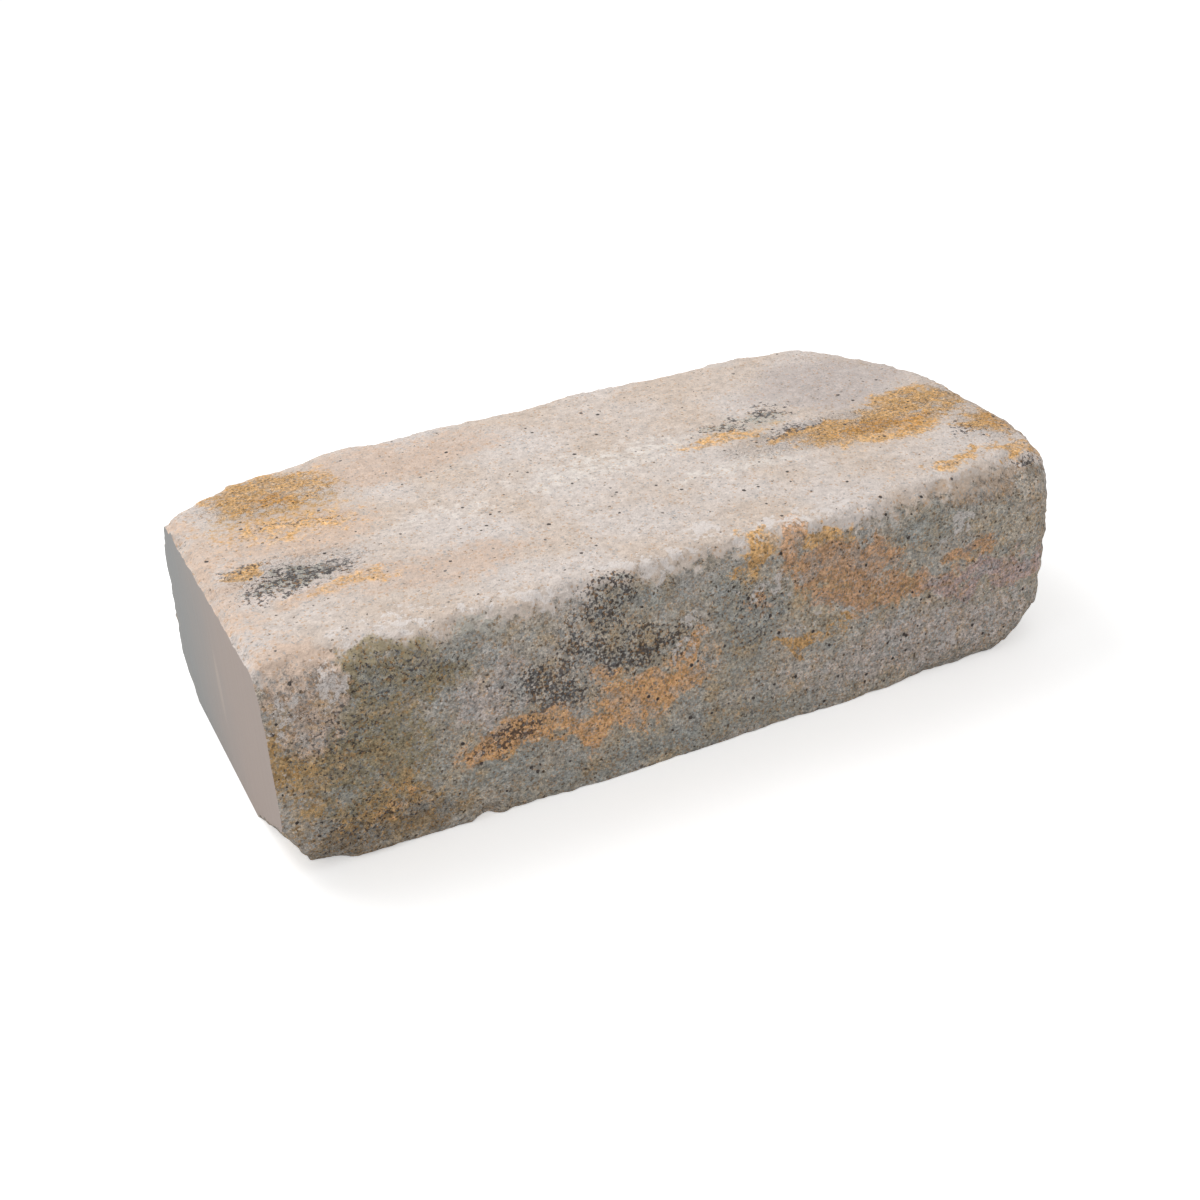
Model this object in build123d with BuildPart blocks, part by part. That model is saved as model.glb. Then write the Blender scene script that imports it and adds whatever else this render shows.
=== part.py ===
from build123d import *
from math import cos, pi
import os

# Tumbled garden wall block, cast in one piece from fine concrete.
#
# The block lies flat on its bed. X runs along its length, Y through its depth and Z up.
# The face that shows in a wall is at -Y, the smooth moulded end is at -X, the worn end
# at +X, and the origin is the middle of the bed. Sizes are in millimetres.

# Overall size: a 400 by 200 by 100 block, less what splitting and tumbling wear off
length = 394.0
depth = 193.0
height = 100.0

# Long faces: split from a wider block, so they wander in plan and belly out in height.
# Each touches the full depth of the block at its high spot.
split_wander = 1.4
split_belly = 1.6
wander_wavelength = 250.0
front_high_spot = -130.0
back_high_spot = 100.0
crown_rise = 1.2

# Long arrises: radius worn along the middle of the block, and at its ends
front_arris_middle = 9.0
front_arris_moulded_end = 24.0
front_arris_worn_end = 12.0
back_arris_middle = 9.0
back_arris_end = 23.0
bed_arris_middle = 4.0
bed_arris_end = 13.0

# The bed is struck flat across its arrises, this far above where they would end
bed_strike = 1.0

# Radii of the corners in plan, and how far the worn end bows out between its own two
moulded_back_corner = 28.0
worn_front_corner = 36.0
worn_back_corner = 74.0
worn_end_bow = 15.0

# Radii of the edges across the ends, seen from the front
moulded_top_edge = 22.0
worn_top_edge = 34.0
worn_bottom_edge = 18.0

# Worn corners and edges meet their faces at a crease, because each of their arcs would
# end this far outside the faces
crease = 4.0

# Corners knocked off in the tumbling drum: reach along X, Y and Z from the corner
bed_front_moulded_knock = (16.0, 55.0, 27.0)
bed_front_moulded_chip = (46.0, 19.0, 20.0)
bed_back_moulded_knock = (30.0, 36.0, 32.0)
top_back_moulded_knock = (60.0, 43.0, 58.0)
bed_front_worn_knock = (46.0, 40.0, 38.0)
top_back_worn_knock = (60.0, 64.0, 30.0)
top_front_worn_knock = (24.0, 58.0, 46.0)

# Long shallow flat worn along the front arris, up to the worn end
front_arris_flat = (170.0, 21.0, 23.0)

station_count = 9
overrun = 12.0

moulded = -length / 2
worn = length / 2
front = -depth / 2
back = depth / 2
bed = 0.0
top = height


def wander(x, high_spot):
    """How far a split face stands in from its plane at x."""
    return split_wander * (1 - cos(2 * pi * (x - high_spot) / wander_wavelength)) / 2


def arris_radius(x, middle, end):
    """Radius of a long arris at x: it grows towards both ends."""
    return middle + (end - middle) * abs(2 * x / length) ** 3


def section(x):
    """Outline of the block across its length at x: depth runs across it, height up it."""
    front_y = front + split_belly + wander(x, front_high_spot)
    back_y = back - split_belly - wander(x, back_high_spot)
    top_z = top - crown_rise
    bottom_z = bed - bed_strike
    middle_z = (top_z + bottom_z) / 2
    front_arris_end = front_arris_moulded_end if x < 0 else front_arris_worn_end
    corner_radii = [
        ((front_y, bottom_z), arris_radius(x, bed_arris_middle, bed_arris_end)),
        ((back_y, bottom_z), arris_radius(x, bed_arris_middle, bed_arris_end)),
        ((back_y, top_z), arris_radius(x, back_arris_middle, back_arris_end)),
        ((front_y, top_z), arris_radius(x, front_arris_middle, front_arris_end)),
    ]
    with BuildSketch(Plane.YZ.offset(x)) as outline:
        with BuildLine():
            Line((front_y, bottom_z), (back_y, bottom_z))
            ThreePointArc((back_y, bottom_z), (back_y + split_belly, middle_z), (back_y, top_z))
            ThreePointArc((back_y, top_z), (0, top), (front_y, top_z))
            ThreePointArc((front_y, top_z), (front_y - split_belly, middle_z), (front_y, bottom_z))
        make_face()
        for corner, radius in corner_radii:
            fillet(outline.vertices().sort_by_distance(corner)[0], radius)
    return outline.sketch


def knock(corner, reach):
    """Plane that takes a corner off at the given reaches, facing out of the block."""
    x, y, z = corner
    on_x = Vector(x - reach[0] if x > 0 else x + reach[0], y, z)
    on_y = Vector(x, y - reach[1] if y > 0 else y + reach[1], z)
    on_z = Vector(x, y, z - reach[2] if z > 0 else z + reach[2])
    outward = (on_y - on_x).cross(on_z - on_x).normalized()
    if outward.dot(Vector(corner) - on_x) < 0:
        outward = -outward
    return Plane(origin=on_x, z_dir=outward)


# In plan the moulded end is straight, and the worn end bows between rounded corners
with BuildSketch() as plan:
    with BuildLine():
        Polyline(
            (worn - worn_end_bow, front - crease),
            (moulded, front - crease),
            (moulded, back + crease),
            (worn - worn_end_bow, back + crease),
        )
        ThreePointArc(
            (worn - worn_end_bow, back + crease),
            (worn, 0),
            (worn - worn_end_bow, front - crease),
        )
    make_face()
    fillet(plan.vertices().sort_by_distance((moulded, back))[0], moulded_back_corner)
    fillet(plan.vertices().sort_by_distance((worn, front))[0], worn_front_corner)
    fillet(plan.vertices().sort_by_distance((worn, back))[0], worn_back_corner)

# From the front the bed is straight, and the edges across the ends are rounded over
with BuildSketch(Plane.XZ) as elevation:
    with BuildLine():
        Polyline(
            (moulded - crease, bed),
            (worn + crease, bed),
            (worn + crease, top + crease),
            (moulded - crease, top + crease),
            close=True,
        )
    make_face()
    fillet(elevation.vertices().sort_by_distance((moulded, top))[0], moulded_top_edge)
    fillet(elevation.vertices().sort_by_distance((worn, top))[0], worn_top_edge)
    fillet(elevation.vertices().sort_by_distance((worn, bed))[0], worn_bottom_edge)

with BuildPart() as wall_block:
    first = moulded - overrun
    step = (length + 2 * overrun) / (station_count - 1)
    for i in range(station_count):
        add(section(first + i * step))
    loft()
    extrude(plan.sketch, amount=height + crease, both=True, mode=Mode.INTERSECT)
    extrude(elevation.sketch, amount=depth, both=True, mode=Mode.INTERSECT)
    for corner, reach in (
        ((moulded, front, bed), bed_front_moulded_knock),
        ((moulded, front, bed), bed_front_moulded_chip),
        ((moulded, back, bed), bed_back_moulded_knock),
        ((moulded, back, top), top_back_moulded_knock),
        ((worn, front, bed), bed_front_worn_knock),
        ((worn, back, top), top_back_worn_knock),
        ((worn, front, top), top_front_worn_knock),
        ((worn, front, top), front_arris_flat),
    ):
        split(bisect_by=knock(corner, reach), keep=Keep.BOTTOM)

wall_block.part.label = "wall_block"
os.makedirs("parts", exist_ok=True)
export_step(wall_block.part, "parts/wall_block.step")
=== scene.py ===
from math import pi, radians

import bpy
from mathutils import Matrix, Vector


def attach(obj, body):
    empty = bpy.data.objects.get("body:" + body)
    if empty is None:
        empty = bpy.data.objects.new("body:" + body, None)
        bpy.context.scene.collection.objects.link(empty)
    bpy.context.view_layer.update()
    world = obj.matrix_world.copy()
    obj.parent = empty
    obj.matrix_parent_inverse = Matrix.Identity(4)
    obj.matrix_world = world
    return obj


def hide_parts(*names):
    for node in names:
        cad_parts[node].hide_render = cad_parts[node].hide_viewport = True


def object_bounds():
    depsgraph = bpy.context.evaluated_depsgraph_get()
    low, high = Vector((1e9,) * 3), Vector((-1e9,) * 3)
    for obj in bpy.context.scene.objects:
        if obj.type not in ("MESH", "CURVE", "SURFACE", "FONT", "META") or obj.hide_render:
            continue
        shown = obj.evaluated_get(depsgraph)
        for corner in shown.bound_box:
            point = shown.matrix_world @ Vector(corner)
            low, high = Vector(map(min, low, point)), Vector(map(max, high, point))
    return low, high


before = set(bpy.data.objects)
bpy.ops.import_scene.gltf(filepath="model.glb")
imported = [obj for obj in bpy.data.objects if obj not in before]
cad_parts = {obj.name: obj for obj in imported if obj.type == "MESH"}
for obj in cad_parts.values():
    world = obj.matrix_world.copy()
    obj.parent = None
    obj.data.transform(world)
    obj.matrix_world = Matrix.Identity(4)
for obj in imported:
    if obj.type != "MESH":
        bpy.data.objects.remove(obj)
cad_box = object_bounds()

# Camera
# It looks down on the front and the moulded end from the front left, about 0.86 m off,
# as the photographer's did. Its place was fitted to the block's edge lines in the photo.
view_azimuth = radians(-24.236)
view_elevation = radians(29.549)
view_roll = radians(-3.26)
camera_turn = (
    Matrix.Rotation(view_azimuth, 4, "Z")
    @ Matrix.Rotation(pi / 2 - view_elevation, 4, "X")
    @ Matrix.Rotation(view_roll, 4, "Z")
)
bpy.ops.object.camera_add(location=(-0.2956, -0.6348, 0.4257), rotation=camera_turn.to_euler())
camera = bpy.context.object
camera.name = "photo_camera"
camera.data.lens = 49.64
camera.data.sensor_width = 36.0
camera.data.clip_start = 0.01
bpy.context.scene.camera = camera
bpy.context.scene.view_settings.view_transform = "Standard"


# Studio
# The block stands on a plain pale table. The camera sees table and backdrop as white,
# with the block's soft shadow kept, and the block is lit as by a table of mid grey.
def make_node(tree, kind, **settings):
    """A shader node with its settings made."""
    made = tree.nodes.new(kind)
    for name, value in settings.items():
        setattr(made, name, value)
    return made


def feed(tree, socket, value):
    """Links a value to a socket, or sets the socket where the value is a plain one."""
    if isinstance(value, bpy.types.NodeSocket):
        tree.links.new(value, socket)
    else:
        socket.default_value = value


def blend_colours(tree, share, under, over, blend_type="MIX"):
    """Lays one colour over another by a share from 0 to 1."""
    made = make_node(tree, "ShaderNodeMix", data_type="RGBA", blend_type=blend_type)
    feed(tree, made.inputs[0], share)
    feed(tree, made.inputs[6], under)
    feed(tree, made.inputs[7], over)
    return made.outputs[2]


table_width = 9.0
table_drop = 0.0002
table_in_light = (0.68, 0.68, 0.68, 1.0)
table_in_view = (0.98, 0.98, 0.98, 1.0)
table_glow_in_view = 0.42
backdrop_in_light = 0.6
backdrop_in_view = 1.0
white = (1.0, 1.0, 1.0, 1.0)
block_middle = (0.0, 0.0, 0.05)

bpy.ops.mesh.primitive_plane_add(size=table_width, location=(0.0, 0.0, -table_drop))
studio_table = bpy.context.object
studio_table.name = "studio_table"
table_paint = bpy.data.materials.new("table_paint")
table_paint.use_nodes = True
table_tree = table_paint.node_tree
table_shader = table_tree.nodes["Principled BSDF"]
table_shader.inputs["Roughness"].default_value = 0.9
table_shader.inputs["Specular IOR Level"].default_value = 0.2
seen_ray = make_node(table_tree, "ShaderNodeLightPath")
table_colour = blend_colours(
    table_tree, seen_ray.outputs["Is Camera Ray"], table_in_light, table_in_view
)
feed(table_tree, table_shader.inputs["Base Color"], table_colour)
table_shader.inputs["Emission Color"].default_value = white
table_glow = make_node(table_tree, "ShaderNodeMath", operation="MULTIPLY")
feed(table_tree, table_glow.inputs[0], seen_ray.outputs["Is Camera Ray"])
table_glow.inputs[1].default_value = table_glow_in_view
feed(table_tree, table_shader.inputs["Emission Strength"], table_glow.outputs[0])
studio_table.data.materials.append(table_paint)

studio_world = bpy.data.worlds.new("studio_world")
bpy.context.scene.world = studio_world
studio_world.use_nodes = True
world_tree = studio_world.node_tree
world_light = world_tree.nodes["Background"]
world_ray = make_node(world_tree, "ShaderNodeLightPath")
world_strength = make_node(world_tree, "ShaderNodeMapRange")
feed(world_tree, world_strength.inputs["Value"], world_ray.outputs["Is Camera Ray"])
world_strength.inputs["To Min"].default_value = backdrop_in_light
world_strength.inputs["To Max"].default_value = backdrop_in_view
feed(world_tree, world_light.inputs["Strength"], world_strength.outputs["Result"])
world_light.inputs["Color"].default_value = white


def soft_box(name, place, aim, width, power):
    """A square studio lamp that faces the point it is aimed at."""
    bpy.ops.object.light_add(type="AREA", location=place)
    lamp = bpy.context.object
    lamp.name = name
    lamp.data.shape = "SQUARE"
    lamp.data.size = width
    lamp.data.energy = power
    lamp.rotation_euler = (Vector(aim) - Vector(place)).to_track_quat("-Z", "Y").to_euler()


soft_box("key_soft_box", (-0.55, 0.75, 1.35), block_middle, width=0.9, power=10.0)
soft_box("fill_soft_box", (-1.3, -0.5, 0.7), block_middle, width=1.0, power=1.2)


# Worn block, its shape
# One casting of fine concrete. The bed and the moulded end keep the flat faces of the
# pallet and the mould. The rest was split, or worn round and rough in the drum.
wear_allowance = 0.003
grain_step = 0.00146
bed_height = 0.0
moulded_end_x = cad_box[0][0]
flat_facing = 0.999
most_worn_face_corners = 40
smooth_below = radians(60)

bpy.ops.object.select_all(action="DESELECT")
worn_block = bpy.data.objects.new("worn_block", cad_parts["wall_block"].data.copy())
bpy.context.scene.collection.objects.link(worn_block)
worn_block.select_set(True)
bpy.context.view_layer.objects.active = worn_block
worn_block.data.materials.clear()

bpy.ops.object.mode_set(mode="EDIT")
bpy.ops.mesh.select_all(action="SELECT")
bpy.ops.mesh.remove_doubles(threshold=0.00001)
bpy.ops.mesh.select_all(action="DESELECT")
bpy.ops.object.mode_set(mode="OBJECT")


def push_out(faces_to_push, travel):
    """Extrudes the faces that a test picks."""
    for face in worn_block.data.polygons:
        face.select = faces_to_push(face)
    bpy.ops.object.mode_set(mode="EDIT")
    bpy.ops.mesh.select_mode(type="FACE")
    bpy.ops.mesh.extrude_region_move(TRANSFORM_OT_translate={"value": travel})
    bpy.ops.mesh.select_all(action="DESELECT")
    bpy.ops.object.mode_set(mode="OBJECT")


# Both flat faces are pushed out first, and cut back to their planes after the wear
push_out(lambda face: face.normal.x < -flat_facing, (-wear_allowance, 0.0, 0.0))
push_out(lambda face: face.normal.z < -flat_facing, (0.0, 0.0, -wear_allowance))


def finish_step(name, kind, **settings):
    """A modifier on the block, made and applied."""
    step = worn_block.modifiers.new(name, kind)
    for setting, value in settings.items():
        setattr(step, setting, value)
    bpy.ops.object.modifier_apply(modifier=step.name)


finish_step("even_faces", "REMESH", mode="VOXEL", voxel_size=grain_step)
finish_step("tumbled_soft", "SMOOTH", factor=0.5, iterations=10)


def worn_group(name, share_at):
    """A vertex group whose weight is worked out from each point's place and normal."""
    group = worn_block.vertex_groups.new(name=name)
    by_share = {}
    for vertex in worn_block.data.vertices:
        share = round(max(0.0, min(1.0, share_at(vertex.co, vertex.normal))), 1)
        by_share.setdefault(share, []).append(vertex.index)
    for share, indices in by_share.items():
        if share > 0.0:
            group.add(indices, share, "REPLACE")


def split_share(place, facing):
    """Most on the long faces, and some on the worn end."""
    return 1.25 * abs(facing.y) + 0.45 * abs(facing.x)


def arris_share(place, facing):
    """Where the surface faces between two of the block's sides."""
    return 3.2 * (0.98 - max(abs(facing.x), abs(facing.y), abs(facing.z)))


def top_share(place, facing):
    """On the pressed top."""
    return 1.4 * facing.z - 0.3


def tumbled_end_share(place, facing):
    """From 115 mm off the middle to either end, but not on the moulded end or the bed."""
    past_middle = (abs(place.x) - 0.115) / 0.05
    off_moulded_end = (place.x + 0.19) / 0.02
    return min(past_middle, off_moulded_end) * (1.0 if place.z > 0.004 else 0.0)


def mould_edge_share(place, facing):
    """Within about 9 mm of the moulded end, but not on that end or the bed."""
    near_plane = 1.25 - (place.x - moulded_end_x) / 0.007
    return near_plane if -0.97 < facing.x and place.z > 0.003 else 0.0


worn_group("tumbled_ends", tumbled_end_share)
finish_step("round_ends", "SMOOTH", factor=0.5, iterations=70, vertex_group="tumbled_ends")


def nudge(place, reach, travel):
    """Pulls the surface near a point by a travel that dies out over the reach, all in metres."""
    centre = Vector(place)
    nearest = min((vertex.co - centre).length for vertex in worn_block.data.vertices)
    for face in worn_block.data.polygons:
        face.select = False
    for edge in worn_block.data.edges:
        edge.select = False
    for vertex in worn_block.data.vertices:
        vertex.select = (vertex.co - centre).length < nearest + grain_step
    bpy.ops.object.mode_set(mode="EDIT")
    bpy.ops.mesh.select_mode(type="VERT")
    bpy.ops.transform.translate(
        value=travel,
        use_proportional_edit=True,
        proportional_edit_falloff="SMOOTH",
        proportional_size=reach,
    )
    bpy.ops.mesh.select_all(action="DESELECT")
    bpy.ops.object.mode_set(mode="OBJECT")


# The drum's knocks: rounder back corners, a fuller foot to the front, and a small chip
nudge((0.184, 0.048, 0.095), 0.035, (-0.0020, -0.0030, -0.0025))
nudge((-0.190, 0.058, 0.088), 0.030, (0.0, 0.0014, 0.0012))
nudge((-0.140, 0.088, 0.096), 0.035, (0.0, -0.0022, -0.0010))
nudge((-0.190, -0.080, 0.008), 0.026, (0.0, -0.0010, -0.0010))
nudge((0.183, -0.084, 0.040), 0.040, (0.0030, -0.0010, 0.0))
nudge((-0.060, -0.094, 0.002), 0.070, (0.0, -0.0016, 0.0))
nudge((0.010, -0.094, 0.002), 0.070, (0.0, -0.0016, 0.0))
nudge((-0.110, -0.0945, 0.001), 0.006, (0.0, 0.0035, 0.0020))
worn_group("split_faces", split_share)
worn_group("arrises", arris_share)
worn_group("mould_edge", mould_edge_share)
worn_group("pressed_top", top_share)


def wear(name, kind, size, depth, group, **settings):
    """Moves the surface in and out by a procedural texture of that size, in metres."""
    pattern = bpy.data.textures.new(name, kind)
    pattern.noise_scale = size
    for setting, value in settings.items():
        setattr(pattern, setting, value)
    finish_step(
        name,
        "DISPLACE",
        texture=pattern,
        texture_coords="LOCAL",
        direction="NORMAL",
        strength=depth,
        mid_level=0.5,
        vertex_group=group,
    )


wear("split_swell", "CLOUDS", 0.042, 0.0062, "split_faces", noise_depth=1)
wear("split_flakes", "CLOUDS", 0.013, 0.0019, "split_faces", noise_depth=2)
wear("split_sand", "CLOUDS", 0.0052, 0.0016, "split_faces", noise_depth=1)
wear("arris_crumble", "CLOUDS", 0.009, 0.0034, "arrises", noise_depth=2)
wear("arris_nibble", "VORONOI", 0.011, 0.0013, "arrises")
wear("arris_grit", "CLOUDS", 0.0048, 0.0021, "arrises", noise_depth=1)
wear("mould_edge_crumble", "CLOUDS", 0.0065, 0.0028, "mould_edge", noise_depth=2)
wear("top_swell", "CLOUDS", 0.055, 0.0018, "pressed_top", noise_depth=2)
wear("top_pits", "CLOUDS", 0.0042, 0.0008, "pressed_top", noise_depth=1)


def cut_flat(plane_place, plane_facing):
    """Cuts the surface back to a plane, and closes it with one flat face."""
    bpy.ops.object.mode_set(mode="EDIT")
    bpy.ops.mesh.select_all(action="SELECT")
    bpy.ops.mesh.bisect(
        plane_co=plane_place,
        plane_no=plane_facing,
        use_fill=True,
        clear_outer=True,
        threshold=0.000001,
    )
    bpy.ops.mesh.select_all(action="DESELECT")
    bpy.ops.object.mode_set(mode="OBJECT")


cut_flat((moulded_end_x, 0.0, 0.0), (-1.0, 0.0, 0.0))
cut_flat((0.0, 0.0, bed_height), (0.0, 0.0, -1.0))

# High spots stood proud of the block's size, and the drum wore them down to it
worn_band = 0.0016


def wear_down(axis, side, limit):
    """Presses what lies in the outer band, or past it, back between the band and the limit."""
    outermost = max(side * vertex.co[axis] for vertex in worn_block.data.vertices)
    band_start = side * limit - worn_band
    for face in worn_block.data.polygons:
        face.select = False
    for edge in worn_block.data.edges:
        edge.select = False
    for vertex in worn_block.data.vertices:
        vertex.select = side * vertex.co[axis] > band_start
    press = [1.0, 1.0, 1.0]
    press[axis] = worn_band / (outermost - band_start)
    middle = [0.0, 0.0, 0.0]
    middle[axis] = side * band_start
    bpy.ops.object.mode_set(mode="EDIT")
    bpy.ops.mesh.select_mode(type="VERT")
    bpy.ops.transform.resize(value=press, center_override=middle)
    bpy.ops.mesh.select_all(action="DESELECT")
    bpy.ops.object.mode_set(mode="OBJECT")


wear_down(1, -1.0, cad_box[0][1])
wear_down(1, 1.0, cad_box[1][1])
wear_down(0, 1.0, cad_box[1][0])
wear_down(2, 1.0, cad_box[1][2])

# The two cut faces are the only ones with a long outline
flat_faces = [
    face.index for face in worn_block.data.polygons if len(face.vertices) > most_worn_face_corners
]
for face in worn_block.data.polygons:
    face.select = face.index in flat_faces
bpy.ops.object.mode_set(mode="EDIT")
bpy.ops.mesh.select_mode(type="FACE")
bpy.ops.mesh.region_to_loop()
bpy.ops.mesh.mark_sharp()
bpy.ops.mesh.select_all(action="DESELECT")
bpy.ops.object.mode_set(mode="OBJECT")
bpy.ops.object.shade_smooth_by_angle(angle=smooth_below, keep_sharp_edges=True)


# Worn block, its finish
# Fine concrete mixed from cream, ochre, rust and charcoal batches, so that the colours
# run in blotches of grains. Sand shows as grains of about a millimetre, lime as a haze.
def shade(red, green, blue):
    """The shader's colour for a colour given as seen, from 0 to 255."""
    seen = [value / 255 for value in (red, green, blue)]
    linear = [value / 12.92 if value <= 0.04045 else ((value + 0.055) / 1.055) ** 2.4 for value in seen]
    return (*linear, 1.0)


def maths(tree, operation, *values):
    """One step of arithmetic on values."""
    made = make_node(tree, "ShaderNodeMath", operation=operation)
    for socket, value in zip(made.inputs, values):
        feed(tree, socket, value)
    return made.outputs[0]


def vector_maths(tree, operation, *values):
    """One step of arithmetic on vectors."""
    made = make_node(tree, "ShaderNodeVectorMath", operation=operation)
    for socket, value in zip(made.inputs, values):
        feed(tree, socket, value)
    return made.outputs[0]


def same_on_axes(tree, value):
    """A vector, or a grey, with one value on all three axes."""
    made = make_node(tree, "ShaderNodeCombineXYZ")
    for socket in made.inputs:
        feed(tree, socket, value)
    return made.outputs[0]


def between(tree, value, low, high, to_low=0.0, to_high=1.0, smooth=True):
    """Where a value lies from low to high, clamped to the two ends."""
    kind = "SMOOTHSTEP" if smooth else "LINEAR"
    made = make_node(tree, "ShaderNodeMapRange", interpolation_type=kind, clamp=True)
    feed(tree, made.inputs["Value"], value)
    feed(tree, made.inputs["From Min"], low)
    feed(tree, made.inputs["From Max"], high)
    feed(tree, made.inputs["To Min"], to_low)
    feed(tree, made.inputs["To Max"], to_high)
    return made.outputs["Result"]


def across(tree, mask, at_none, at_full):
    """A value that runs evenly from one to another as a mask goes from 0 to 1."""
    return between(tree, mask, 0.0, 1.0, at_none, at_full, smooth=False)


def weighted(tree, first, first_share, second, second_share):
    """Two values added up by their shares."""
    first_part = maths(tree, "MULTIPLY", first, first_share)
    second_part = maths(tree, "MULTIPLY", second, second_share)
    return maths(tree, "ADD", first_part, second_part)


def tinge(tree, colour, mask, most, over):
    """Lays a colour over another where a mask is, and by that much at most."""
    share = maths(tree, "MULTIPLY", mask, most)
    return blend_colours(tree, share, colour, over)


def cloud(tree, place, size, detail=2.0, roughness=0.5):
    """A noise whose lumps are that many millimetres across."""
    made = make_node(tree, "ShaderNodeTexNoise")
    feed(tree, made.inputs["Vector"], place)
    made.inputs["Scale"].default_value = 1.0 / size
    made.inputs["Detail"].default_value = detail
    made.inputs["Roughness"].default_value = roughness
    return made


def cloud_level(tree, place, size, detail, roughness, low, high, smooth=True):
    """A noise as a level from 0 to 1, where it lies from low to high."""
    noise = cloud(tree, place, size, detail, roughness)
    return between(tree, noise.outputs["Fac"], low, high, smooth=smooth)


def stir(tree, place, size, travel):
    """Moves each place by a noise of that size, by up to about half the travel each way."""
    noise = cloud(tree, place, size)
    centred = vector_maths(tree, "SUBTRACT", noise.outputs["Color"], (0.5, 0.5, 0.5))
    moved = vector_maths(tree, "MULTIPLY", centred, (travel, travel, travel))
    return vector_maths(tree, "ADD", place, moved)


def new_group(name, inputs, outputs):
    """An empty node group with its sockets, and its two end nodes."""
    tree = bpy.data.node_groups.new(name, "ShaderNodeTree")
    for socket, kind in inputs:
        tree.interface.new_socket(name=socket, in_out="INPUT", socket_type=kind)
    for socket, kind in outputs:
        tree.interface.new_socket(name=socket, in_out="OUTPUT", socket_type=kind)
    return tree, tree.nodes.new("NodeGroupInput"), tree.nodes.new("NodeGroupOutput")


def use_group(tree, group, **values):
    """A group placed in a material with its own values."""
    made = make_node(tree, "ShaderNodeGroup", node_tree=group)
    for name, value in values.items():
        feed(tree, made.inputs[name.replace("_", " ")], value)
    return made


# Sand: worn grains packed side by side, each of its own kind, with gaps between them,
# and here and there a dark chip, up to about two millimetres across
sand, sand_in, sand_out = new_group(
    "sand",
    [("Place", "NodeSocketVector"), ("Grain size", "NodeSocketFloat")],
    [
        ("Tone", "NodeSocketFloat"),
        ("Kind", "NodeSocketFloat"),
        ("Dark", "NodeSocketFloat"),
        ("Height", "NodeSocketFloat"),
        ("Gap", "NodeSocketFloat"),
        ("Chips", "NodeSocketFloat"),
    ],
)
size_on_axes = same_on_axes(sand, sand_in.outputs["Grain size"])
in_grains = vector_maths(sand, "DIVIDE", sand_in.outputs["Place"], size_on_axes)
uneven = stir(sand, in_grains, 1.3, 1.1)
grains = make_node(sand, "ShaderNodeTexVoronoi")
feed(sand, grains.inputs["Vector"], uneven)
grains.inputs["Scale"].default_value = 1.0
grain_pick = make_node(sand, "ShaderNodeSeparateColor")
feed(sand, grain_pick.inputs[0], grains.outputs["Color"])
feed(sand, sand_out.inputs["Tone"], grain_pick.outputs[0])
feed(sand, sand_out.inputs["Kind"], grain_pick.outputs[1])
feed(sand, sand_out.inputs["Dark"], grain_pick.outputs[2])
grain_dome = between(sand, grains.outputs["Distance"], 0.0, 0.75, 1.0, 0.0)
grain_stand = between(sand, grain_pick.outputs[0], 0.0, 1.0, 0.35, 1.0, smooth=False)
feed(sand, sand_out.inputs["Height"], maths(sand, "MULTIPLY", grain_dome, grain_stand))
feed(sand, sand_out.inputs["Gap"], between(sand, grains.outputs["Distance"], 0.38, 0.72))
chips = make_node(sand, "ShaderNodeTexVoronoi")
feed(sand, chips.inputs["Vector"], uneven)
chips.inputs["Scale"].default_value = 0.3
chip_pick = make_node(sand, "ShaderNodeSeparateColor")
feed(sand, chip_pick.inputs[0], chips.outputs["Color"])
chip_reach = between(sand, chip_pick.outputs[1], 0.93, 1.0, 0.0, 0.34, smooth=False)
chip_mask = between(sand, maths(sand, "SUBTRACT", chip_reach, chips.outputs["Distance"]), 0.0, 0.05)
feed(sand, sand_out.inputs["Chips"], chip_mask)


# A blotch is whole out to its core's share of its reach, and gone at its rim's. Its
# strength is raised, a breakup is added, and it shows where the sum passes a level.
blotch_core = 0.3
blotch_rim = 1.5
blotch_gain = 1.45
blotch_level = 0.65
blotch_fade = 0.2
breakup_push = 1.1
batch_softness = 0.3
charcoal_softness = 0.08
bloom_softness = 0.1


def as_breakup(tree, pattern):
    """A pattern from 0 to 1 as a push each way on a blotch's strength."""
    return maths(tree, "MULTIPLY", maths(tree, "SUBTRACT", pattern, 0.5), breakup_push)


def lay_blotches(tree, place, breakup, softness, spots):
    """One mask for blotches of a batch: each spot's middle and reach, and how far it covers."""
    strength = 0.0
    for middle, reach, cover in spots:
        in_reaches = vector_maths(tree, "DIVIDE", vector_maths(tree, "SUBTRACT", place, middle), reach)
        distance = make_node(tree, "ShaderNodeVectorMath", operation="LENGTH")
        feed(tree, distance.inputs[0], in_reaches)
        spot_strength = between(tree, distance.outputs["Value"], blotch_core, blotch_rim, cover, 0.0)
        strength = maths(tree, "MAXIMUM", strength, spot_strength)
    level = maths(tree, "ADD", maths(tree, "MULTIPLY", strength, blotch_gain), breakup)
    broken_up = between(tree, level, blotch_level - softness, blotch_level + softness)
    return maths(tree, "MULTIPLY", broken_up, between(tree, strength, 0.0, blotch_fade))


to_mm = (1000.0, 1000.0, 1000.0)
sand_grain_size = 0.95

worn_concrete = bpy.data.materials.new("worn_concrete")
worn_concrete.use_nodes = True
worn_tree = worn_concrete.node_tree
worn_shader = worn_tree.nodes["Principled BSDF"]
object_place = make_node(worn_tree, "ShaderNodeTexCoord")
in_mm = vector_maths(worn_tree, "MULTIPLY", object_place.outputs["Object"], to_mm)
axes = make_node(worn_tree, "ShaderNodeSeparateXYZ")
feed(worn_tree, axes.inputs[0], in_mm)

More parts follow.
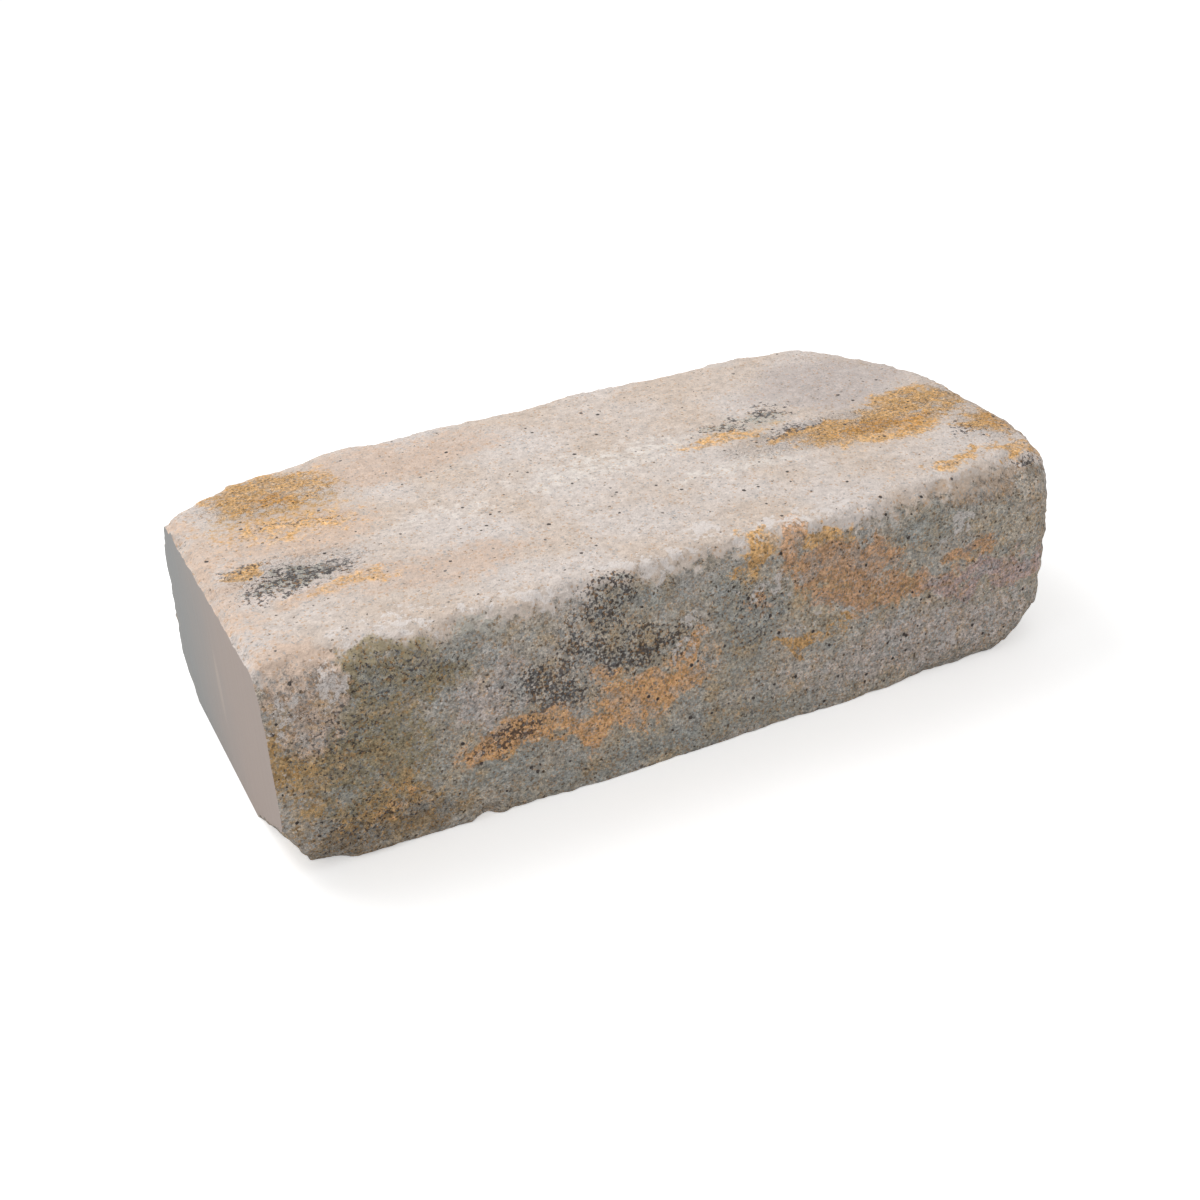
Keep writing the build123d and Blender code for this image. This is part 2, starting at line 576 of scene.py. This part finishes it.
# Blotches have no smooth outlines, so the place they are laid by is stirred at two sizes
stirred = stir(worn_tree, stir(worn_tree, in_mm, 24.0, 30.0), 7.0, 17.0)
sand_grains = use_group(worn_tree, sand, Place=in_mm, Grain_size=sand_grain_size)
tone = sand_grains.outputs["Tone"]
kind = sand_grains.outputs["Kind"]
coarse = cloud_level(worn_tree, in_mm, 5.0, 4.0, 0.62, 0.3, 0.7, smooth=False)
fine = cloud_level(worn_tree, in_mm, 2.2, 2.0, 0.6, 0.28, 0.72, smooth=False)
grainy = weighted(worn_tree, fine, 0.55, kind, 0.45)
breakup = weighted(worn_tree, coarse, 0.55, grainy, 0.45)
lace = cloud_level(worn_tree, in_mm, 1.7, 3.0, 0.65, 0.36, 0.64, smooth=False)
lacy = weighted(worn_tree, coarse, 0.15, lace, 0.85)
grain_breakup = as_breakup(worn_tree, breakup)
lace_breakup = as_breakup(worn_tree, lacy)

# Ground colour: cream on top, greyer down the split faces, with drifts and mottles
drift = cloud_level(worn_tree, in_mm, 46.0, 3.0, 0.5, 0.35, 0.65)
mottle = cloud_level(worn_tree, in_mm, 13.0, 5.0, 0.62, 0.34, 0.66)
top_ground = blend_colours(worn_tree, drift, shade(217, 200, 186), shade(223, 212, 205))
side_ground = blend_colours(worn_tree, drift, shade(217, 204, 185), shade(220, 210, 201))
side_mottle = blend_colours(worn_tree, 0.5, side_ground, shade(184, 170, 148))
side_ground = blend_colours(worn_tree, mottle, side_mottle, side_ground)
height_of_top = maths(worn_tree, "ADD", axes.outputs["Z"], maths(worn_tree, "MULTIPLY", coarse, 11.0))
on_top = between(worn_tree, height_of_top, 93.0, 99.0)
ground = blend_colours(worn_tree, on_top, side_ground, top_ground)

cream = shade(231, 222, 214)
pink_beige = shade(216, 194, 178)
tan = shade(220, 196, 178)
ochre = shade(236, 188, 130)
deep_ochre = shade(222, 164, 92)
rust = shade(226, 180, 142)
dull_ochre = shade(204, 168, 120)
orange = shade(248, 194, 142)
olive = shade(172, 158, 130)
brown = shade(160, 142, 120)
umber = shade(198, 178, 160)
slate = shade(188, 184, 174)
rose = shade(216, 190, 184)
grey_beige = shade(222, 208, 200)
dove = shade(202, 190, 184)

# Blotches: each batch's colour, and its spots' middles and reaches in millimetres and cover
blotches = [
    (pink_beige, [((-85, 62, 100), (58, 26, 16), 0.8), ((-105, -50, 100), (50, 18, 14), 0.7)]),
    (
        cream,
        [
            ((-90, -4, 100), (52, 12, 12), 0.36),
            ((0, 6, 100), (62, 22, 12), 0.5),
            ((55, -32, 100), (50, 10, 12), 0.5),
        ],
    ),
    (
        tan,
        [
            ((-190, 0, 96), (12, 90, 12), 0.6),
            ((-150, 16, 100), (42, 32, 14), 0.8),
            ((-148, -44, 100), (36, 10, 12), 0.7),
        ],
    ),
    (dove, [((138, 32, 98), (52, 40, 20), 0.7)]),
    (
        olive,
        [
            ((-146, -94, 82), (34, 12, 18), 0.85),
            ((-160, -94, 46), (34, 14, 36), 0.8),
            ((-120, 94, 60), (46, 14, 30), 0.6),
            ((118, 88, 40), (40, 24, 26), 0.6),
        ],
    ),
    (
        dull_ochre,
        [
            ((-184, -90, 44), (20, 18, 44), 0.5),
            ((-150, 38, 100), (46, 34, 14), 0.46),
            ((142, -24, 98), (56, 20, 14), 0.44),
        ],
    ),
    (brown, [((-156, -94, 16), (40, 16, 16), 0.75), ((-182, -92, 14), (18, 20, 14), 0.5)]),
    (
        grey_beige,
        [
            ((-160, -30, 100), (34, 16, 10), 0.7),
            ((-104, -94, 60), (18, 12, 14), 0.8),
            ((112, -94, 22), (90, 14, 22), 0.6),
            ((60, 94, 60), (40, 14, 16), 0.6),
        ],
    ),
    (
        slate,
        [
            ((-100, -94, 26), (34, 14, 14), 0.7),
            ((-112, -94, 86), (22, 12, 8), 0.7),
            ((-20, -94, 10), (100, 16, 12), 0.6),
            ((16, -94, 58), (20, 14, 40), 0.75),
            ((-30, -94, 84), (36, 12, 8), 0.6),
            ((112, -94, 80), (30, 12, 11), 0.6),
            ((78, 8, 100), (34, 14, 10), 0.5),
            ((-160, -28, 100), (26, 10, 10), 0.6),
            ((-20, 94, 34), (60, 14, 24), 0.6),
            ((194, -10, 46), (14, 40, 26), 0.6),
        ],
    ),
    (
        umber,
        [
            ((150, -94, 92), (56, 12, 7), 0.75),
            ((40, 94, 82), (50, 14, 12), 0.6),
            ((190, 36, 70), (18, 30, 18), 0.6),
        ],
    ),
    (tan, [((-180, -88, 80), (18, 20, 24), 1.1)]),
]
open_blotches = [
    (
        ochre,
        [
            ((-150, 60, 98), (32, 24, 14), 0.86),
            ((-150, 20, 100), (36, 20, 12), 0.46),
            ((-176, -10, 100), (8, 8, 10), 0.8),
            ((-140, -44, 100), (30, 7, 10), 0.5),
            ((60, 0, 100), (30, 7, 10), 0.55),
            ((92, -16, 100), (34, 7, 10), 0.66),
            ((130, -26, 98), (44, 17, 14), 1.0),
            ((160, -8, 94), (34, 14, 16), 1.05),
            ((178, -46, 84), (18, 26, 24), 0.95),
            ((150, -76, 97), (46, 6, 7), 0.72),
            ((21, -94, 90), (10, 12, 9), 0.95),
            ((56, -94, 90), (28, 12, 6), 0.66),
            ((45, -94, 42), (16, 12, 3), 0.8),
            ((68, -94, 46), (5, 12, 4), 0.85),
        ],
    ),
    (
        deep_ochre,
        [
            ((-150, 50, 98), (20, 12, 14), 0.55),
            ((134, -27, 98), (34, 11, 14), 0.62),
            ((182, -48, 84), (12, 18, 22), 0.6),
        ],
    ),
    (
        dull_ochre,
        [
            ((-193, -86, 50), (9, 16, 34), 0.75),
            ((-150, -94, 22), (28, 16, 13), 0.6),
            ((-150, 92, 30), (26, 16, 16), 0.6),
            ((84, 94, 28), (34, 14, 10), 0.66),
            ((192, 20, 30), (14, 26, 12), 0.6),
        ],
    ),
    (
        rust,
        [
            ((22, -94, 66), (8, 12, 9), 0.5),
            ((40, -94, 86), (9, 12, 14), 0.75),
            ((68, -94, 73), (32, 12, 14), 1.0),
            ((72, -94, 58), (26, 12, 6), 0.9),
            ((104, -94, 49), (32, 12, 7), 0.95),
            ((136, -94, 62), (17, 12, 7), 0.85),
            ((-70, 94, 50), (38, 14, 14), 0.75),
            ((194, -30, 60), (12, 26, 12), 0.6),
        ],
    ),
    (
        orange,
        [
            ((-150, -94, 22), (12, 16, 8), 0.45),
            ((-92, -94, 38), (30, 14, 12), 0.95),
            ((-32, -94, 40), (30, 14, 11), 0.95),
            ((-62, -94, 30), (44, 14, 8), 0.7),
            ((-50, -94, 54), (12, 14, 4), 0.7),
            ((-14, -94, 54), (12, 14, 6), 0.7),
            ((16, 94, 56), (26, 14, 9), 0.7),
        ],
    ),
    (rose, [((146, -94, 47), (36, 12, 8), 0.95), ((140, 84, 72), (26, 24, 10), 0.75)]),
]
colour = ground
open_texture = maths(worn_tree, "SUBTRACT", 1.0, on_top)
for batch_colour, spots in blotches:
    batch_mask = lay_blotches(worn_tree, stirred, grain_breakup, batch_softness, spots)
    colour = blend_colours(worn_tree, batch_mask, colour, batch_colour)
for batch_colour, spots in open_blotches:
    batch_mask = lay_blotches(worn_tree, stirred, grain_breakup, batch_softness, spots)
    colour = blend_colours(worn_tree, batch_mask, colour, batch_colour)
    open_texture = maths(worn_tree, "MAXIMUM", open_texture, batch_mask)

# Where the texture is open, blue grey and ochre mortar show by turns
turn = cloud(worn_tree, in_mm, 11.0, 6.0, 0.72).outputs["Fac"]
blue_turn = maths(worn_tree, "MULTIPLY", between(worn_tree, turn, 0.50, 0.62), open_texture)
ochre_turn = maths(worn_tree, "MULTIPLY", between(worn_tree, turn, 0.36, 0.48, 1.0, 0.0), open_texture)
colour = tinge(worn_tree, colour, blue_turn, 0.42, shade(196, 201, 202))
colour = tinge(worn_tree, colour, ochre_turn, 0.42, shade(222, 188, 140))

# Charcoal batch: a lace of dark grains on the paler ground
charcoal_blotches = [
    ((-164, -29, 100), (28, 11, 10), 0.50),
    ((-146, -28, 100), (15, 9, 10), 0.49),
    ((-172, -5, 100), (16, 5, 8), 0.40),
    ((-150, 20, 100), (28, 4, 8), 0.32),
    ((70, 11, 100), (22, 9, 8), 0.43),
    ((94, 13, 100), (18, 9, 8), 0.49),
    ((92, -11, 100), (26, 6, 8), 0.41),
    ((166, -58, 92), (20, 8, 10), 0.43),
    ((172, -82, 84), (14, 7, 10), 0.41),
    ((-58, -94, 73), (22, 12, 17), 0.50),
    ((-46, -94, 87), (15, 12, 11), 0.45),
    ((-78, -94, 60), (19, 12, 10), 0.52),
    ((-36, -94, 61), (30, 12, 9), 0.50),
    ((-74, -94, 50), (19, 12, 9), 0.50),
    ((-94, -94, 38), (23, 12, 8), 0.49),
    ((-142, -94, 84), (34, 12, 16), 0.32),
    ((-166, -94, 60), (24, 12, 30), 0.31),
    ((-160, -94, 20), (34, 12, 18), 0.31),
    ((18, -94, 66), (16, 12, 24), 0.30),
    ((-96, 94, 72), (22, 12, 12), 0.45),
    ((-84, 94, 60), (16, 12, 10), 0.41),
    ((52, 94, 42), (26, 12, 10), 0.43),
    ((194, 6, 52), (12, 18, 12), 0.38),
]
charcoal_mask = lay_blotches(worn_tree, stirred, lace_breakup, charcoal_softness, charcoal_blotches)
colour = tinge(worn_tree, colour, charcoal_mask, 0.84, shade(70, 64, 66))
open_texture = maths(worn_tree, "MAXIMUM", open_texture, charcoal_mask)

# Grain by grain: ochre and slate grains, dark ones, and gaps that are in shade
ochre_share = across(worn_tree, open_texture, 0.94, 0.84)
ochre_grain = maths(worn_tree, "GREATER_THAN", kind, ochre_share)
colour = tinge(worn_tree, colour, ochre_grain, 0.42, shade(192, 142, 84))
slate_share = across(worn_tree, open_texture, 0.05, 0.16)
slate_grain = maths(worn_tree, "LESS_THAN", kind, slate_share)
colour = tinge(worn_tree, colour, slate_grain, 0.45, shade(150, 156, 160))
dark_share = across(worn_tree, open_texture, 0.991, 0.93)
dark_grain = maths(worn_tree, "GREATER_THAN", sand_grains.outputs["Dark"], dark_share)
dark_most = maths(worn_tree, "MULTIPLY", tone, 0.9)
colour = tinge(worn_tree, colour, dark_grain, dark_most, shade(92, 78, 62))
tone_low = across(worn_tree, open_texture, 0.85, 0.42)
tone_high = across(worn_tree, open_texture, 1.15, 1.66)
speckle_cloud = cloud_level(worn_tree, in_mm, 1.5, 3.0, 0.6, 0.3, 0.7, smooth=False)
speckle = weighted(worn_tree, speckle_cloud, 0.65, tone, 0.35)
gap_depth = across(worn_tree, open_texture, 0.04, 0.14)
gap_shade = maths(worn_tree, "MULTIPLY", sand_grains.outputs["Gap"], gap_depth)
# Painted shade in the hollows of the coarse relief and painted light on its high spots, deeper where
# the texture is open
hollow_shade_low = across(worn_tree, open_texture, 0.97, 0.84)
relief_shade_and_light = between(worn_tree, coarse, 0.1, 0.8, hollow_shade_low, 1.2, smooth=False)
colour = blend_colours(worn_tree, 1.0, colour, same_on_axes(worn_tree, relief_shade_and_light), "MULTIPLY")
grain_tint = across(worn_tree, speckle, tone_low, tone_high)
tint = maths(worn_tree, "MULTIPLY", grain_tint, maths(worn_tree, "SUBTRACT", 1.0, gap_shade))
colour = blend_colours(worn_tree, 1.0, colour, same_on_axes(worn_tree, tint), "MULTIPLY")
colour = blend_colours(worn_tree, sand_grains.outputs["Chips"], colour, shade(88, 80, 76))

# Lime bloom: white haze drawn out along the length, thickest on the front arris
long_place = vector_maths(worn_tree, "MULTIPLY", in_mm, (0.4, 1.0, 1.0))
haze = cloud_level(worn_tree, long_place, 10.0, 5.0, 0.64, 0.48, 0.76)
haze_most = between(worn_tree, axes.outputs["Z"], 60.0, 99.0, 0.14, 0.36)
colour = tinge(worn_tree, colour, haze, haze_most, shade(230, 222, 216))
flaky = cloud_level(worn_tree, in_mm, 6.0, 5.0, 0.72, 0.36, 0.64, smooth=False)
bloom_thickness = between(worn_tree, lace, 0.1, 0.9, 0.95, 0.6)
flaky_breakup = as_breakup(worn_tree, flaky)
bloom_blotches = [
    ((-98, -88, 98), (38, 9, 7), 0.63),
    ((-140, -80, 99), (26, 8, 6), 0.45),
    ((-34, -88, 98), (44, 8, 6), 0.54),
    ((5, -78, 100), (11, 9, 6), 0.63),
    ((36, -88, 97), (34, 8, 6), 0.52),
    ((66, -84, 98), (20, 6, 5), 0.41),
    ((-188, -90, 74), (8, 12, 12), 0.52),
    ((-170, -90, 84), (12, 12, 8), 0.56),
    ((-190, -90, 40), (5, 12, 10), 0.52),
    ((28, -95, 72), (16, 8, 7), 0.45),
    ((62, -95, 50), (16, 8, 4), 0.41),
    ((126, -95, 78), (11, 8, 8), 0.45),
    ((-14, -95, 60), (14, 8, 12), 0.33),
    ((128, -95, 16), (8, 8, 5), 0.45),
]
bloom_mask = lay_blotches(worn_tree, stirred, flaky_breakup, bloom_softness, bloom_blotches)
colour = tinge(worn_tree, colour, bloom_mask, bloom_thickness, shade(242, 233, 228))
feed(worn_tree, worn_shader.inputs["Base Color"], colour)

# Relief is full on the split faces, and where the pressed top is open
open_top_spots = [
    ((-150, 56, 98), (34, 24, 14), 1.0),
    ((-158, -20, 100), (36, 16, 10), 0.8),
    ((112, -18, 99), (66, 16, 14), 1.0),
    ((166, -14, 94), (32, 20, 18), 1.0),
    ((176, -50, 84), (20, 28, 24), 1.0),
]
coarse_breakup = as_breakup(worn_tree, coarse)
open_top = lay_blotches(worn_tree, in_mm, coarse_breakup, batch_softness, open_top_spots)
relief_open = maths(worn_tree, "MAXIMUM", maths(worn_tree, "SUBTRACT", 1.0, on_top), open_top)
relief_share = across(worn_tree, relief_open, 0.3, 1.0)
rough_height = maths(worn_tree, "MULTIPLY", maths(worn_tree, "ADD", coarse, fine), 0.55)
grain_height = maths(worn_tree, "MULTIPLY", sand_grains.outputs["Height"], 0.6)
fracture = cloud(worn_tree, in_mm, 9.0, 4.0, 0.6).outputs["Fac"]
fracture_height = maths(worn_tree, "MULTIPLY", maths(worn_tree, "SUBTRACT", fracture, 0.5), 3.4)
relief = maths(worn_tree, "ADD", rough_height, grain_height)
relief_middle = 0.75
relief_depth = 0.0014
relief = maths(worn_tree, "SUBTRACT", maths(worn_tree, "ADD", relief, fracture_height), relief_middle)
worn_bump = make_node(worn_tree, "ShaderNodeBump")
worn_bump.inputs["Strength"].default_value = 1.0
worn_bump.inputs["Distance"].default_value = relief_depth
feed(worn_tree, worn_bump.inputs["Height"], maths(worn_tree, "MULTIPLY", relief, relief_share))
feed(worn_tree, worn_shader.inputs["Normal"], worn_bump.outputs["Normal"])
feed(worn_tree, worn_shader.inputs["Roughness"], between(worn_tree, haze, 0.0, 1.0, 0.95, 0.86))
worn_shader.inputs["Specular IOR Level"].default_value = 0.3

# Moulded end, its finish
# The skin that lay against the steel of the mould: cement paste with hardly any grain,
# satin, beige at the front and blue grey painted shade towards the back, with fine lines down its
# height.
moulded_concrete = bpy.data.materials.new("moulded_concrete")
moulded_concrete.use_nodes = True
skin_tree = moulded_concrete.node_tree
skin_shader = skin_tree.nodes["Principled BSDF"]
skin_place = make_node(skin_tree, "ShaderNodeTexCoord")
skin_mm = vector_maths(skin_tree, "MULTIPLY", skin_place.outputs["Object"], to_mm)
skin_axes = make_node(skin_tree, "ShaderNodeSeparateXYZ")
feed(skin_tree, skin_axes.inputs[0], skin_mm)
skin_drift = cloud(skin_tree, skin_mm, 30.0, 3.0)
skin_drift_mm = maths(skin_tree, "MULTIPLY", skin_drift.outputs["Fac"], 40.0)
skin_y = maths(skin_tree, "ADD", skin_axes.outputs["Y"], skin_drift_mm)
# Painted shade: the end turns blue grey towards the back
skin_rear_painted_shade = between(skin_tree, skin_y, -40.0, 90.0)
skin_colour = blend_colours(skin_tree, skin_rear_painted_shade, shade(188, 172, 163), shade(162, 163, 162))
drag_place = vector_maths(skin_tree, "MULTIPLY", skin_mm, (1.0, 1.0, 0.06))
drag = cloud_level(skin_tree, drag_place, 3.0, 4.0, 0.6, 0.35, 0.7)
skin_colour = tinge(skin_tree, skin_colour, drag, 0.13, shade(214, 204, 196))
from_scrape = vector_maths(skin_tree, "SUBTRACT", skin_mm, (-197.0, -9.0, 46.0))
scrape_reaches = vector_maths(skin_tree, "DIVIDE", from_scrape, (20.0, 4.0, 20.0))
scrape_distance = make_node(skin_tree, "ShaderNodeVectorMath", operation="LENGTH")
feed(skin_tree, scrape_distance.inputs[0], scrape_reaches)
scrape = between(skin_tree, scrape_distance.outputs["Value"], 0.3, 1.2, 0.9, 0.0)
scrape_most = between(skin_tree, drag, 0.1, 0.8, 0.3, 1.0)
skin_colour = tinge(skin_tree, skin_colour, scrape, scrape_most, shade(222, 206, 192))
feed(skin_tree, skin_shader.inputs["Base Color"], skin_colour)
skin_bump = make_node(skin_tree, "ShaderNodeBump")
skin_bump.inputs["Strength"].default_value = 0.25
skin_bump.inputs["Distance"].default_value = 0.0003
feed(skin_tree, skin_bump.inputs["Height"], maths(skin_tree, "ADD", drag, skin_drift.outputs["Fac"]))
feed(skin_tree, skin_shader.inputs["Normal"], skin_bump.outputs["Normal"])
feed(skin_tree, skin_shader.inputs["Roughness"], between(skin_tree, drag, 0.0, 1.0, 0.55, 0.68))
skin_shader.inputs["Specular IOR Level"].default_value = 0.4

worn_block.data.materials.append(worn_concrete)
worn_block.data.materials.append(moulded_concrete)
for face in worn_block.data.polygons:
    face.material_index = 1 if face.index in flat_faces else 0
worn_block.vertex_groups.clear()

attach(worn_block, "root")
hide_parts("wall_block")
